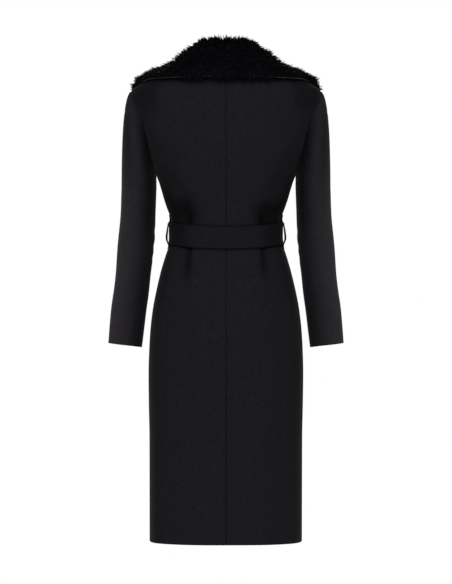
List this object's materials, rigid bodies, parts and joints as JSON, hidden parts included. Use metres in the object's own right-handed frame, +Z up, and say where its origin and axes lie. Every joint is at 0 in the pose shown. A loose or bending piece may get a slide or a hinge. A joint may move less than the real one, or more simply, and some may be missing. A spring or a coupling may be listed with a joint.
{
  "type": "belted duster coat with fur collar",
  "caption": "Long belted coat in heavy wool with a wide fur fall collar, filled out as worn and open at neck, cuffs and hem.",
  "frame": {"origin": "middle of the neck, level with the neck ends of the shoulder seams", "axes": "+Z up, the front faces -Y, +X to the wearer's left"},
  "size_m": [0.568, 0.2917, 1.2082],
  "materials": {
    "wool": "heavy felted black wool with a short soft nap",
    "fur": "thick black fur with a long uneven pile",
    "binding": "narrow light grey edge of the fur's backing"
  },
  "bodies": {
    "root": {"back_left": "wool", "back_right": "wool", "front_left": "wool", "front_right": "wool", "sleeve_upper_left": "wool", "sleeve_upper_right": "wool", "sleeve_under_left": "wool", "sleeve_under_right": "wool", "under_collar": "wool", "belt": "wool", "belt_knot": "wool", "belt_end_left": "wool", "belt_end_right": "wool", "belt_loop_left": "wool", "belt_loop_right": "wool", "fur_collar": "fur", "collar_binding": "binding"}
  },
  "joints": []
}
